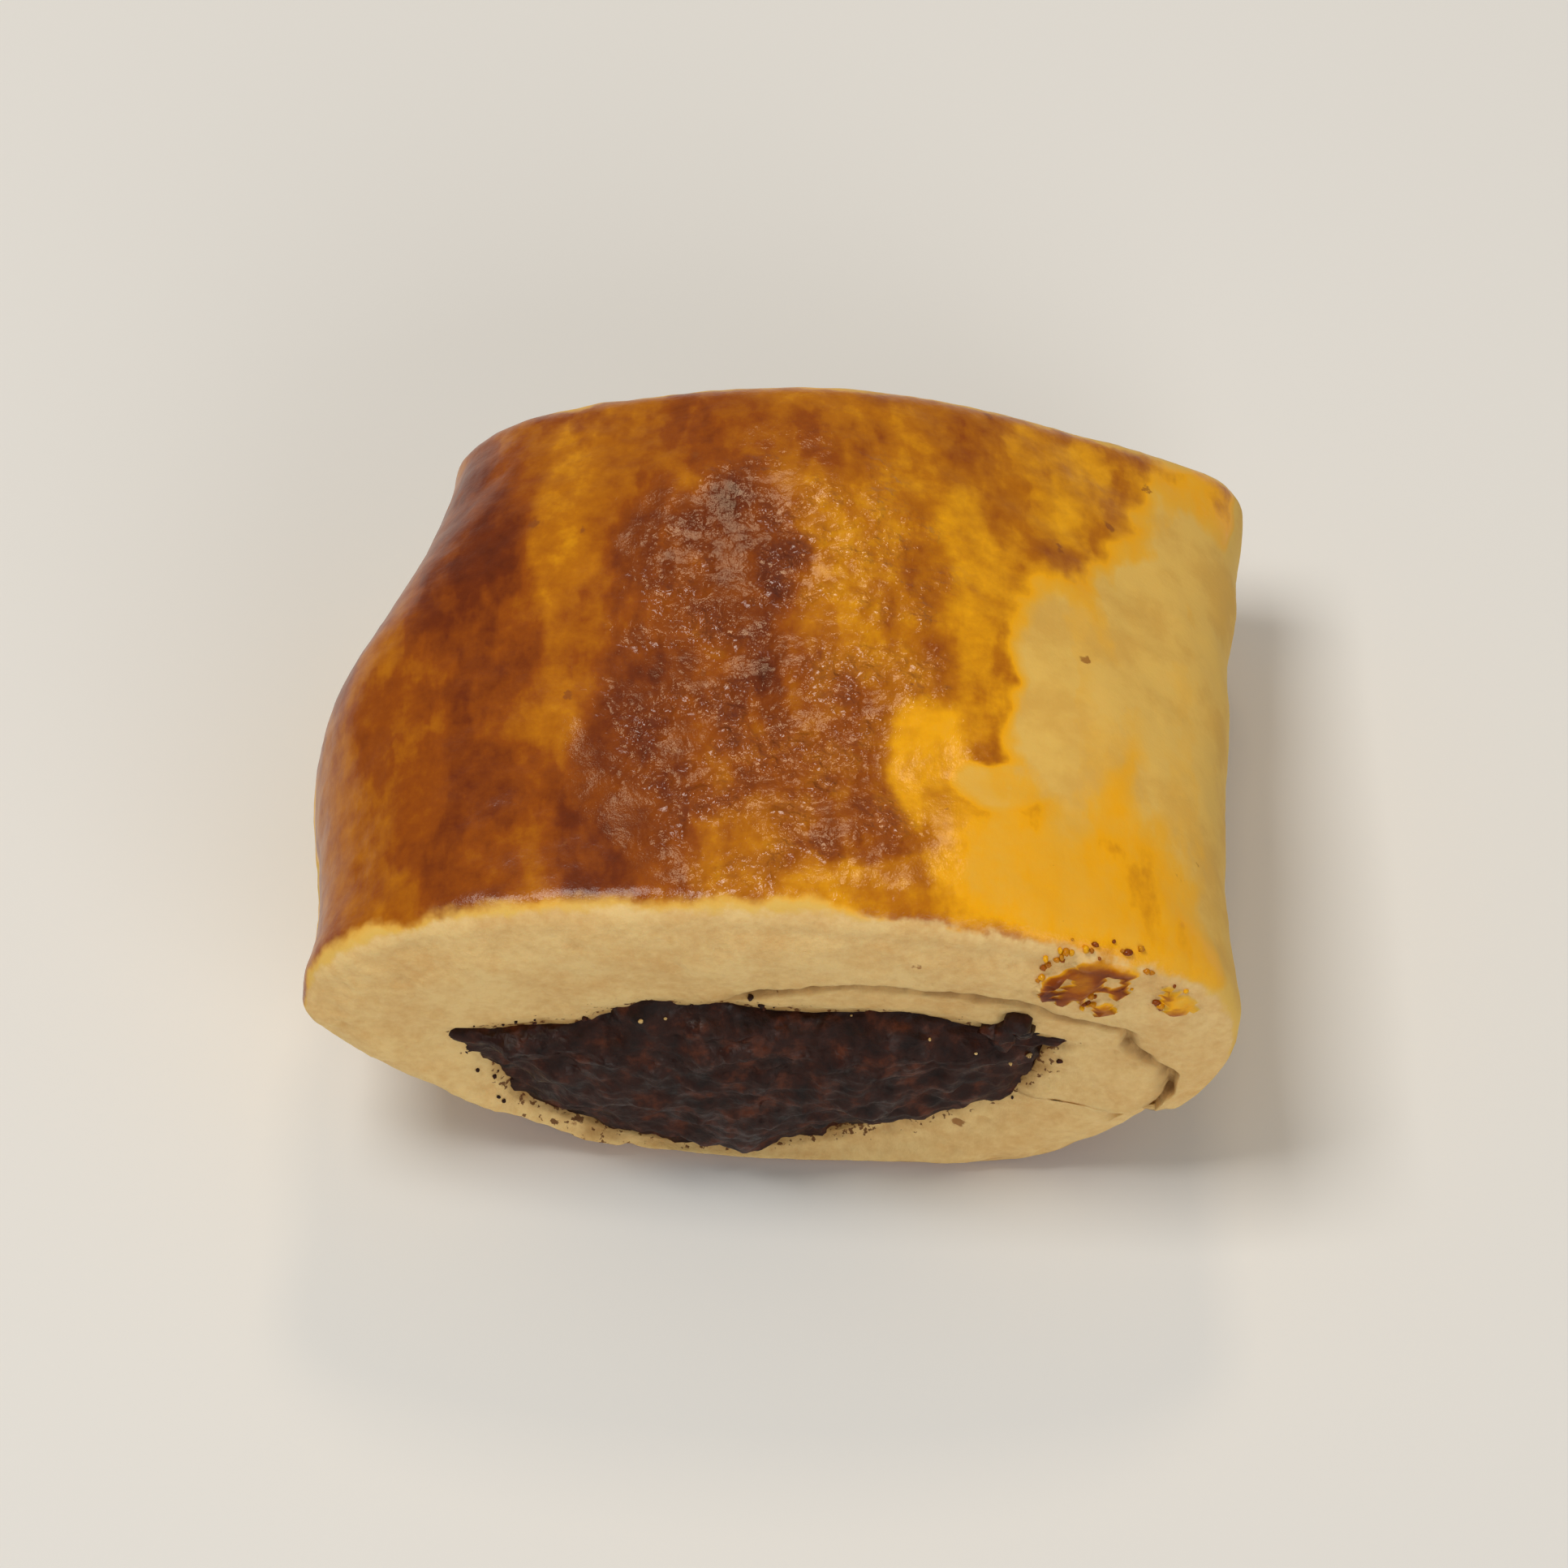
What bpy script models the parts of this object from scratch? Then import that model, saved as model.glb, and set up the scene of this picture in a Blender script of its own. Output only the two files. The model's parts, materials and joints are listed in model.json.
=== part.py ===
"""A date-filled kleicha: one short length cut from a filled, rolled and baked log of dough.

The roll lies along Y. Its front cut faces -Y, its back cut +Y, and it rests on a flat patch at z = 0.
The dough is one sheet wrapped about one and a third turns round the date paste, so its two layers
meet in a seam that shows on both cut faces and comes out as a lap low on the right flank.
"""

import math

import bmesh
import bpy

MM = 0.001

# The whole piece
ROLL_WIDTH = 41.0 * MM
ROLL_HEIGHT = 21.6 * MM
PIECE_LENGTH = 29.8 * MM

# The middle of the finished piece's box in plan, which is moved over the origin
MIDDLE_X = -0.07 * MM
MIDDLE_Y = -0.27 * MM

# The roll's section: half widths at mid length, and how they change from the front cut to the back
MID_HEIGHT = 11.2 * MM
LEFT_REACH = ROLL_WIDTH * 0.415
RIGHT_REACH = ROLL_WIDTH * 0.472
LEFT_TAPER = 2.9 * MM
RIGHT_TAPER = -0.3 * MM
CORNER_FLARE = 0.9 * MM
LEFT_SWELL = 3.1 * MM
SWELL_PLACE = -0.12
SWELL_BREADTH = 0.55
TOP_SQUARENESS = 2.7
SHOULDER_DROP = 0.22
BACK_SHOULDER_DROP = 0.1
RIGHT_SAG = 3.0 * MM
BASE_LEFT_SQUARENESS = 1.85
BASE_RIGHT_SQUARENESS = 2.1
END_PINCH = 0.3
FRONT_LEFT_PINCH = 0.45
BASE_SINK = 3.2 * MM
BASE_ROUNDING = 1.0 * MM
CROWN_DROP = 0.9 * MM
BACK_CROWN_DROP = 2.1 * MM

# The cut faces: skew in plan, lean of the front and back cut, and how their edges are rounded
FRONT_SKEW = -0.05
BACK_SKEW = 0.04
FRONT_LEAN = -0.05
BACK_LEAN = 0.04
TOP_RIM_RADIUS = 1.5 * MM
LOW_RIM_RADIUS = 1.0 * MM
LIP_RADIUS = 0.35 * MM
DOUGH_PUFF = 0.4 * MM

# The date core: its centre, how far it reaches from there and how far it swells out of each cut
CORE_CENTRE_X = -0.4 * MM
CORE_CENTRE_Z = 9.2 * MM
CORE_LEFT = 12.6 * MM
CORE_LEFT_TAPER = 1.0 * MM
CORE_RIGHT = 11.4 * MM
CORE_UP = 3.4 * MM
CORE_DOWN = 8.1 * MM
CORE_SLUMP = 2.8 * MM
CORE_LEFT_DIP = 0.5
CORE_TOP_SQUARENESS = 2.1
CORE_BASE_SQUARENESS = 1.8
FRONT_BULGE = 1.9 * MM
BACK_BULGE = 1.0 * MM
FIT_GAP = 0.3 * MM

# Tongues of paste pressed into the dough: angle and breadth in degrees, reach at the front cut
TONGUES = (
    (176.0, 9.0, 1.1 * MM),
    (121.0, 7.0, 0.9 * MM),
    (84.0, 11.0, -0.5 * MM),
    (22.0, 11.0, 1.7 * MM),
    (-42.0, 14.0, -0.6 * MM),
    (-140.0, 12.0, 0.5 * MM),
)
TONGUE_TURN = 11.0
LUMP_HEIGHT = 0.4 * MM
LUMP_WIDTH = 1.4 * MM

# The seam between the dough's two layers, in degrees clockwise from where the sheet starts
SEAM_START = 104.0
SEAM_SWEEP = 126.0
SEAM_IN = 0.08
SEAM_MID = 0.46
SEAM_OUT = 0.92
SEAM_DEPTH = 0.8 * MM
SEAM_WIDTH = 0.8 * MM
LAP_STEP = 1.0 * MM
LAP_FADE = 46.0
LAP_WANDER = 3.5
LAP_REACH = 25.0

# Uneven baking: angular count, waves along the length, phase and height of each swell
SWELLS = (
    (2, 1.1, 1.3, 0.28 * MM),
    (3, 2.3, 0.4, 0.20 * MM),
    (5, -1.9, 2.2, 0.15 * MM),
    (1, 3.7, 4.1, 0.20 * MM),
)

# How finely each surface is divided
SIDES = 84
FACE_RINGS = (0.0, 0.08, 0.22, 0.36, 0.45, 0.54, 0.68, 0.84)
SEAM_RING = 4
RIM_STEPS = 3
WALL_STEPS = 13
HOLE_STEPS = 5
CAP_RINGS = (0.25, 0.5, 0.72, 0.9)


def smooth_step(low, high, value):
    """0 below low, 1 above high, and an even turn between them."""
    share = min(1.0, max(0.0, (value - low) / (high - low)))
    return share * share * (3.0 - 2.0 * share)


def rounded_oval(angle, right, left, up, down, squareness):
    """A point on an oval with four different reaches, fuller at its corners than an ellipse."""
    across, rise = math.cos(angle), math.sin(angle)
    power = 2.0 / squareness
    x = math.copysign(abs(across) ** power, across) * (right if across > 0.0 else left)
    z = math.copysign(abs(rise) ** power, rise) * (up if rise > 0.0 else down)
    return x, z


def swell(angle, along):
    """The slow rise and fall of a baked surface at an angle round the roll."""
    return sum(
        height * math.sin(count * angle + waves * along + phase)
        for count, waves, phase, height in SWELLS
    )


def degrees_past_start(angle):
    """Degrees clockwise from the place where the sheet of dough starts."""
    return (SEAM_START - math.degrees(angle)) % 360.0


def lap_drop(angle):
    """How far the surface falls back past the sheet's free edge."""
    past = degrees_past_start(angle) - SEAM_SWEEP
    if past < 0.0:
        return 0.0
    return LAP_STEP * (1.0 - smooth_step(0.0, LAP_FADE, past))


def wandered(angle, along):
    """Turns the flank round the sheet's free edge a little, so that the edge isn't a straight line."""
    past = degrees_past_start(angle) - SEAM_SWEEP
    turn = LAP_WANDER * math.sin(2.6 * along + 0.8) * math.exp(-((past / LAP_REACH) ** 2))
    return angle + math.radians(turn)


def settled(z):
    """Flattens the base where it lay on the tray, with a soft turn up into the flanks."""
    if z > BASE_ROUNDING:
        return z
    return max(0.0, z + BASE_ROUNDING) ** 2 / (4.0 * BASE_ROUNDING)


def section_squareness(angle, along):
    """How full the section's corners are: square on top, and curled in below, most of all at the cuts."""
    if math.sin(angle) > 0.0:
        return TOP_SQUARENESS
    if math.cos(angle) > 0.0:
        return BASE_RIGHT_SQUARENESS - END_PINCH * along ** 2
    return BASE_LEFT_SQUARENESS - (FRONT_LEFT_PINCH if along < 0.0 else END_PINCH) * along ** 2


def outer_point(angle, along):
    """The roll's outside at an angle round it; along runs from -1 at the front cut to 1 at the back."""
    flare = CORNER_FLARE * abs(along) ** 3
    right = RIGHT_REACH - RIGHT_TAPER * along + flare
    belly = LEFT_SWELL * math.exp(-(((along - SWELL_PLACE) / SWELL_BREADTH) ** 2))
    left = LEFT_REACH - LEFT_TAPER * along + flare + belly
    crown_drop = CROWN_DROP if along < 0.0 else BACK_CROWN_DROP
    up = ROLL_HEIGHT - MID_HEIGHT - crown_drop * abs(along) ** 2.4
    turned = wandered(angle, along)
    squareness = section_squareness(turned, along)
    x, z = rounded_oval(turned, right, left, up, MID_HEIGHT + BASE_SINK, squareness)
    if x > 0.0:
        backward = smooth_step(-0.3, 1.0, along)
        if z > 0.0:
            z *= 1.0 - (SHOULDER_DROP + BACK_SHOULDER_DROP * backward) * smooth_step(0.0, 1.0, x / right)
        z -= RIGHT_SAG * backward * (x / right) ** 2
    grown = 1.0 + (swell(angle, along) - lap_drop(angle)) / math.hypot(x, z)
    return x * grown, settled(MID_HEIGHT + z * grown)


def tongue_reach(angle, along):
    """How far the paste is pressed into the dough at an angle round the core."""
    reach = 0.0
    for place, breadth, height in TONGUES:
        off = (math.degrees(angle) - place - TONGUE_TURN * (along + 1.0)) % 360.0
        off = min(off, 360.0 - off)
        reach += height * math.exp(-((off / breadth) ** 2))
    return reach


def core_point(angle, along, shrink=0.0, share=1.0):
    """A point of the date core's section: share 0 lies at its middle and 1 at its ragged edge."""
    squareness = CORE_TOP_SQUARENESS if math.sin(angle) > 0.0 else CORE_BASE_SQUARENESS
    left = CORE_LEFT - CORE_LEFT_TAPER * (along + 1.0)
    x, z = rounded_oval(angle, CORE_RIGHT, left, CORE_UP, CORE_DOWN, squareness)
    if z < 0.0:
        x -= CORE_SLUMP * (z / CORE_DOWN) ** 2
    else:
        z *= 1.0 - CORE_LEFT_DIP * smooth_step(0.34, 0.62, -x / left)
    grown = share + (tongue_reach(angle, along) * share ** 3 - shrink * share) / math.hypot(x, z)
    return CORE_CENTRE_X + x * grown, CORE_CENTRE_Z + z * grown


def seam_share(angle):
    """Where the seam lies between the core (0) and the outside (1), all the way round."""
    past = degrees_past_start(angle)
    if past > SEAM_SWEEP:
        home = (past - SEAM_SWEEP) / (360.0 - SEAM_SWEEP)
        return SEAM_OUT + (SEAM_IN - SEAM_OUT) * home
    leaves_core = smooth_step(0.0, 26.0, past)
    meets_flank = smooth_step(88.0, SEAM_SWEEP, past)
    return SEAM_IN + (SEAM_MID - SEAM_IN) * leaves_core + (SEAM_OUT - SEAM_MID) * meets_flank


def seam_depth(angle):
    """How deep the seam is at an angle: open along the lap and closed elsewhere."""
    past = degrees_past_start(angle)
    opening = smooth_step(2.0, 14.0, past)
    closing = 1.0 - smooth_step(SEAM_SWEEP, SEAM_SWEEP + 8.0, past)
    return SEAM_DEPTH * opening * closing


def rim_radius(angle):
    """The cut edge is rounded off most on top, where the knife drew the dough down."""
    on_top = max(0.0, math.sin(angle)) ** 0.7
    return LOW_RIM_RADIUS + (TOP_RIM_RADIUS - LOW_RIM_RADIUS) * on_top


def as_cut(x, y, z):
    """Leans and skews both ends as the knife did, and moves the piece over the origin."""
    end = y / (0.5 * PIECE_LENGTH)
    share = smooth_step(0.3, 1.0, abs(end))
    skew = FRONT_SKEW if end < 0.0 else BACK_SKEW
    lean = FRONT_LEAN if end < 0.0 else -BACK_LEAN
    slant = skew * x + lean * (z - MID_HEIGHT)
    return x - MIDDLE_X, y + share * slant - MIDDLE_Y, z


def wall_point(angle, y, inset):
    """A point of the outer wall, set in from the outside by the rim's rounding."""
    along = y / (0.5 * PIECE_LENGTH)
    x, z = outer_point(angle, along)
    core_x, core_z = core_point(angle, along)
    thickness = math.hypot(x - core_x, z - core_z)
    share = inset / thickness
    return as_cut(x + (core_x - x) * share, y, z + (core_z - z) * share)


def rim_point(angle, end, turn):
    """A point of the rounding between a cut face (turn 0) and the outer wall (a quarter turn)."""
    radius = rim_radius(angle)
    y = end * (0.5 * PIECE_LENGTH - radius * (1.0 - math.cos(turn)))
    return wall_point(angle, y, radius * (1.0 - math.sin(turn)))


def flank_point(angle, share):
    """A point of the outer wall between its two rims, share 0 at the front and 1 at the back."""
    straight = 0.5 * PIECE_LENGTH - rim_radius(angle)
    return wall_point(angle, straight * (2.0 * share - 1.0), 0.0)


def face_point(angle, end, share):
    """A point of a cut face: share 0 lies at the date core, 1 where the rim's rounding starts."""
    x, z = outer_point(angle, end)
    core_x, core_z = core_point(angle, end)
    thickness = math.hypot(x - core_x, z - core_z)
    middle = FACE_RINGS[SEAM_RING]
    seam = seam_share(angle)
    if share < middle:
        warped = seam * share / middle
    else:
        warped = seam + (1.0 - seam) * (share - middle) / (1.0 - middle)
    place = warped * (thickness - rim_radius(angle))
    puff = DOUGH_PUFF * math.sin(math.pi * warped ** 2)
    lip = LIP_RADIUS * (1.0 - smooth_step(0.0, 0.2, warped))
    groove = seam_depth(angle) * math.exp(-(((share - middle) * thickness / SEAM_WIDTH) ** 2))
    y = end * (0.5 * PIECE_LENGTH + puff - lip - groove)
    out = place / thickness
    return as_cut(core_x + (x - core_x) * out, y, core_z + (z - core_z) * out)


def hole_point(angle, y, shrink):
    """A point of the hole that the date core fills, or of the core, which is a little smaller."""
    x, z = core_point(angle, y / (0.5 * PIECE_LENGTH), shrink)
    return as_cut(x, y, z)


def ring_angles():
    """Even angles round the roll, the same for the dough and the core, so that they fit."""
    return [math.tau * step / SIDES for step in range(SIDES)]


def hole_places():
    """Places along Y of the rings of the dough's hole, which the core's rings share."""
    reach = 0.5 * PIECE_LENGTH - LIP_RADIUS
    return [reach * (2.0 * step / HOLE_STEPS - 1.0) for step in range(HOLE_STEPS + 1)]


def dough_rings():
    """Rings of points: out over the front face, along the outside, in over the back and home."""
    angles = ring_angles()
    rings = [[face_point(angle, -1.0, share) for angle in angles] for share in FACE_RINGS]
    arc = [0.5 * math.pi * step / RIM_STEPS for step in range(RIM_STEPS + 1)]
    for turn in arc[:-1]:
        rings.append([rim_point(angle, -1.0, turn) for angle in angles])
    for step in range(WALL_STEPS + 1):
        rings.append([flank_point(angle, step / WALL_STEPS) for angle in angles])
    for turn in reversed(arc[:-1]):
        rings.append([rim_point(angle, 1.0, turn) for angle in angles])
    for share in reversed(FACE_RINGS):
        rings.append([face_point(angle, 1.0, share) for angle in angles])
    for y in reversed(hole_places()[1:-1]):
        rings.append([hole_point(angle, y, 0.0) for angle in angles])
    return rings


def core_rings():
    """Rings of points over the date core, from its front middle to its back middle."""
    angles = ring_angles()
    rings = [[cap_point(angle, -1.0, share) for angle in angles] for share in CAP_RINGS]
    rings += [[hole_point(angle, y, FIT_GAP) for angle in angles] for y in hole_places()]
    rings += [[cap_point(angle, 1.0, share) for angle in angles] for share in reversed(CAP_RINGS)]
    return rings


def cap_point(angle, end, share):
    """A point of the paste where it swells out of a cut face, lumpy and full at its middle."""
    x, z = core_point(angle, end, FIT_GAP, share)
    bulge = FRONT_BULGE if end < 0.0 else BACK_BULGE
    lumps = LUMP_HEIGHT * math.sin(x / LUMP_WIDTH + 1.0) * math.sin(1.3 * z / LUMP_WIDTH + end)
    full = bulge * (1.0 - share ** 3) + lumps * (1.0 - share)
    return as_cut(x, end * (0.5 * PIECE_LENGTH - LIP_RADIUS + full), z)


def skin(bm, rings, closed):
    """Joins each ring of points to the next with four-sided faces; closed joins the last to the first."""
    loops = [[bm.verts.new(point) for point in ring] for ring in rings]
    pairs = list(zip(loops, loops[1:]))
    if closed:
        pairs.append((loops[-1], loops[0]))
    for here, there in pairs:
        sides = len(here)
        for side in range(sides):
            after = (side + 1) % sides
            bm.faces.new((here[side], here[after], there[after], there[side]))
    return loops


def close_end(bm, loop, point, flip):
    """Fills a ring with a fan of triangles round its middle point."""
    middle = bm.verts.new(point)
    for here, there in zip(loop, loop[1:] + loop[:1]):
        bm.faces.new((middle, there, here) if flip else (middle, here, there))


def baked_material(name, colour, roughness):
    """A plain surface colour for one part of the biscuit."""
    material = bpy.data.materials.new(name)
    material.use_nodes = True
    surface = material.node_tree.nodes["Principled BSDF"]
    surface.inputs["Base Color"].default_value = (*colour, 1.0)
    surface.inputs["Roughness"].default_value = roughness
    surface.inputs["Metallic"].default_value = 0.0
    return material


def finished_object(name, bm, material):
    """Turns the built faces into a named, smooth-shaded object with outward faces."""
    bmesh.ops.recalc_face_normals(bm, faces=bm.faces)
    mesh = bpy.data.meshes.new(name)
    bm.to_mesh(mesh)
    bm.free()
    mesh.materials.append(material)
    mesh.shade_smooth()
    mesh.set_sharp_from_angle(angle=math.radians(50.0))
    piece = bpy.data.objects.new(name, mesh)
    bpy.context.scene.collection.objects.link(piece)
    return piece


def build_dough():
    """The wrapped dough, baked to one solid with a hole through it for the date core."""
    bm = bmesh.new()
    skin(bm, dough_rings(), closed=True)
    return finished_object("dough", bm, baked_material("glazed_dough", (0.62, 0.33, 0.08), 0.35))


def build_date_filling():
    """The core of date paste, which runs from one cut face to the other."""
    bm = bmesh.new()
    loops = skin(bm, core_rings(), closed=False)
    close_end(bm, loops[0], cap_point(0.0, -1.0, 0.0), flip=True)
    close_end(bm, loops[-1], cap_point(0.0, 1.0, 0.0), flip=False)
    return finished_object("date_filling", bm, baked_material("date_paste", (0.035, 0.012, 0.006), 0.45))


def clear_scene():
    """Removes whatever the file already holds."""
    for item in list(bpy.data.objects):
        bpy.data.objects.remove(item, do_unlink=True)


clear_scene()
build_dough()
build_date_filling()
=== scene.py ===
"""The looks of a date-filled kleicha: glazed and browned dough round a core of date paste.

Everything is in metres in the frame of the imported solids: the roll lies along Y, its front cut
faces -Y and it rests at z = 0. The dough and the paste are modelled again here on a fine mesh, by
the same form as the solids, with the baked skin, the open crumb and the lumps of paste as relief.
"""

import json
import math
from functools import partial

import bmesh
import bpy
import numpy as np
from bpy.props import FloatProperty, IntProperty, PointerProperty, StringProperty
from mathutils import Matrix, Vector, noise

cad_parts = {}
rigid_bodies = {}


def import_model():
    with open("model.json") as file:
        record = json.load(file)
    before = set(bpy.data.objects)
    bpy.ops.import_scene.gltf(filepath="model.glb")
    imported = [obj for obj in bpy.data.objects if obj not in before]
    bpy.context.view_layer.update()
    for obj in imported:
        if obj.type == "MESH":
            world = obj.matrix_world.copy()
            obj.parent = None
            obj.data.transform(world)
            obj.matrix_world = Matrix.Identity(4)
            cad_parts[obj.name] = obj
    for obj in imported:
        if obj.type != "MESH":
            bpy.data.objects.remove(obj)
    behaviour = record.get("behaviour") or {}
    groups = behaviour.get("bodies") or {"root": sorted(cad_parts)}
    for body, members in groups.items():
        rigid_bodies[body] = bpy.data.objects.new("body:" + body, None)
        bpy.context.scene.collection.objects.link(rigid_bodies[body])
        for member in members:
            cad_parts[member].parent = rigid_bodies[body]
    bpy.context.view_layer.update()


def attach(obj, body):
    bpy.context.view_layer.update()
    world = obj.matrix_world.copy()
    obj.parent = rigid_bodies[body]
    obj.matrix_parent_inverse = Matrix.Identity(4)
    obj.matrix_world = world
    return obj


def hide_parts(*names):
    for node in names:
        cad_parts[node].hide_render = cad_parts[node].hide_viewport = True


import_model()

bl_info = {
    "name": "Date-Filled Kleicha",
    "version": (1, 0, 0),
    "blender": (4, 5, 0),
    "location": "View3D > Sidebar > Kleicha",
    "description": "Builds one baked, date-filled kleicha and a plain studio to show it in",
    "category": "Add Mesh",
}

MM = 0.001
FRONT, BACK = -1.0, 1.0

# The roll's section, as in the solids
MIDDLE_X = -0.07 * MM
MIDDLE_Y = -0.27 * MM
MID_HEIGHT = 11.2 * MM
LEFT_SHARE = 0.415
RIGHT_SHARE = 0.472
LEFT_TAPER = 2.9 * MM
RIGHT_TAPER = -0.3 * MM
CORNER_FLARE = 0.9 * MM
LEFT_SWELL = 3.1 * MM
SWELL_PLACE = -0.12
SWELL_BREADTH = 0.55
TOP_SQUARENESS = 2.7
SHOULDER_DROP = 0.22
BACK_SHOULDER_DROP = 0.1
RIGHT_SAG = 3.0 * MM
BASE_LEFT_SQUARENESS = 1.85
BASE_RIGHT_SQUARENESS = 2.1
END_PINCH = 0.3
FRONT_LEFT_PINCH = 0.45
BASE_SINK = 3.2 * MM
BASE_ROUNDING = 1.0 * MM
CROWN_DROP = 0.9 * MM
BACK_CROWN_DROP = 2.1 * MM
FRONT_SKEW = -0.05
BACK_SKEW = 0.04
FRONT_LEAN = -0.05
BACK_LEAN = 0.04
TOP_RIM_RADIUS = 1.5 * MM
LOW_RIM_RADIUS = 1.0 * MM
LIP_RADIUS = 0.35 * MM
DOUGH_PUFF = 0.4 * MM

# The date core, as in the solids
CORE_CENTRE_X = -0.4 * MM
CORE_CENTRE_Z = 9.2 * MM
CORE_LEFT = 12.6 * MM
CORE_LEFT_TAPER = 1.0 * MM
CORE_RIGHT = 11.4 * MM
CORE_UP = 3.4 * MM
CORE_DOWN = 8.1 * MM
CORE_SLUMP = 2.8 * MM
CORE_LEFT_DIP = 0.5
CORE_TOP_SQUARENESS = 2.1
CORE_BASE_SQUARENESS = 1.8
BACK_BULGE_SHARE = 0.53
TONGUES = (
    (176.0, 9.0, 1.1 * MM),
    (121.0, 7.0, 0.9 * MM),
    (84.0, 11.0, -0.5 * MM),
    (22.0, 11.0, 1.7 * MM),
    (-42.0, 14.0, -0.6 * MM),
    (-140.0, 12.0, 0.5 * MM),
)
TONGUE_TURN = 11.0

# The seam between the dough's two layers, in degrees clockwise from where the sheet starts
SEAM_START = 104.0
SEAM_SWEEP = 126.0
SEAM_IN = 0.08
SEAM_MID = 0.46
SEAM_OUT = 0.92
SEAM_RING = 0.45
LAP_STEP = 1.0 * MM
LAP_FADE = 46.0
LAP_WANDER = 3.5
LAP_REACH = 25.0
SWELLS = (
    (2, 1.1, 1.3, 0.28 * MM),
    (3, 2.3, 0.4, 0.20 * MM),
    (5, -1.9, 2.2, 0.15 * MM),
    (1, 3.7, 4.1, 0.20 * MM),
)

# How finely the meshes are divided
DOUGH_COLUMNS = 430
FACE_ROWS = 34
RIM_ROWS = 8
WALL_ROWS = 134
HOLE_ROWS = 6
PASTE_COLUMNS = 300
CAP_ROWS = 54
CORE_ROWS = 10

# Relief on the meshes: how wide its features are, and how high they stand or how deep they go
SKIN_WAVES = (8.0 * MM, 0.30 * MM)
SKIN_RIPPLES = (1.9 * MM, 0.06 * MM)
BLISTERS = (0.75 * MM, 0.05 * MM)
SCRAPS = (0.7 * MM, 0.26 * MM)
CUT_LUMPS = (2.6 * MM, 0.16 * MM)
CUT_GRAIN = (0.8 * MM, 0.07 * MM)
CUT_PITS = (1.9 * MM, 0.20 * MM)
PASTE_LUMPS = (3.8 * MM, 0.62 * MM)
PASTE_KNOBS = (1.1 * MM, 0.22 * MM)
PASTE_FIBRES = (0.8 * MM, 0.16 * MM)
PASTE_GRAINS = (0.9 * MM, 0.12 * MM)
PASTE_SINK = 0.1 * MM

# The seam's line on the cuts: its width, and how far it wanders as a share of the dough's thickness
SEAM_WIDTH = 0.30 * MM
SEAM_WANDER = 0.055
SEAM_WANDER_SIZE = 2.6 * MM
# Stands for far away from the core or from a cut
FAR = 9.0 * MM


def smooth_step(low, high, value):
    """0 below low, 1 above high, and an even turn between them."""
    share = np.clip((value - low) / (high - low), 0.0, 1.0)
    return share * share * (3.0 - 2.0 * share)


def bell(distance, width):
    """1 at no distance, and falling evenly to nothing over about twice the width."""
    return np.exp(-((distance / width) ** 2))


def rounded_oval(angle, right, left, up, down, squareness):
    """Points on an oval with four different reaches, fuller at its corners than an ellipse."""
    across, rise = np.cos(angle), np.sin(angle)
    x = np.sign(across) * np.abs(across) ** (2.0 / squareness) * np.where(across > 0.0, right, left)
    z = np.sign(rise) * np.abs(rise) ** (2.0 / squareness) * np.where(rise > 0.0, up, down)
    return x, z


def degrees_past_start(angle):
    """Degrees clockwise from the place where the sheet of dough starts."""
    return (SEAM_START - np.degrees(angle)) % 360.0


def settled(z):
    """Flattens the base where it lay in the oven, with a soft turn up into the flanks."""
    return np.where(z > BASE_ROUNDING, z, np.maximum(0.0, z + BASE_ROUNDING) ** 2 / (4.0 * BASE_ROUNDING))


def outer_section(angle, along, size):
    """The roll's outside at angles round it, along from -1 at the front cut to 1 at the back."""
    flare = CORNER_FLARE * np.abs(along) ** 3
    right = size.width * RIGHT_SHARE - RIGHT_TAPER * along + flare
    belly = LEFT_SWELL * bell(along - SWELL_PLACE, SWELL_BREADTH)
    left = size.width * LEFT_SHARE - LEFT_TAPER * along + flare + belly
    crown_drop = np.where(np.asarray(along) < 0.0, CROWN_DROP, BACK_CROWN_DROP)
    up = size.height - MID_HEIGHT - crown_drop * np.abs(along) ** 2.4
    past = degrees_past_start(angle) - SEAM_SWEEP
    turn = LAP_WANDER * np.sin(2.6 * along + 0.8) * bell(past, LAP_REACH)
    turned = angle + np.radians(turn)
    on_right = np.cos(turned) > 0.0
    below = np.where(on_right, BASE_RIGHT_SQUARENESS, BASE_LEFT_SQUARENESS)
    below = below - np.where(~on_right & (along < 0.0), FRONT_LEFT_PINCH, END_PINCH) * along ** 2
    squareness = np.where(np.sin(turned) > 0.0, TOP_SQUARENESS, below)
    x, z = rounded_oval(turned, right, left, up, MID_HEIGHT + BASE_SINK, squareness)
    backward = smooth_step(-0.3, 1.0, along)
    shoulder = (SHOULDER_DROP + BACK_SHOULDER_DROP * backward) * smooth_step(0.0, 1.0, x / right)
    z = np.where((x > 0.0) & (z > 0.0), z * (1.0 - shoulder), z)
    z = np.where(x > 0.0, z - RIGHT_SAG * backward * (x / right) ** 2, z)
    swell = sum(
        height * np.sin(count * angle + waves * along + phase)
        for count, waves, phase, height in SWELLS
    )
    drop = np.where(past < 0.0, 0.0, LAP_STEP * (1.0 - smooth_step(0.0, LAP_FADE, past)))
    grown = 1.0 + (swell - drop) / np.hypot(x, z)
    return x * grown, settled(MID_HEIGHT + z * grown)


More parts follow.
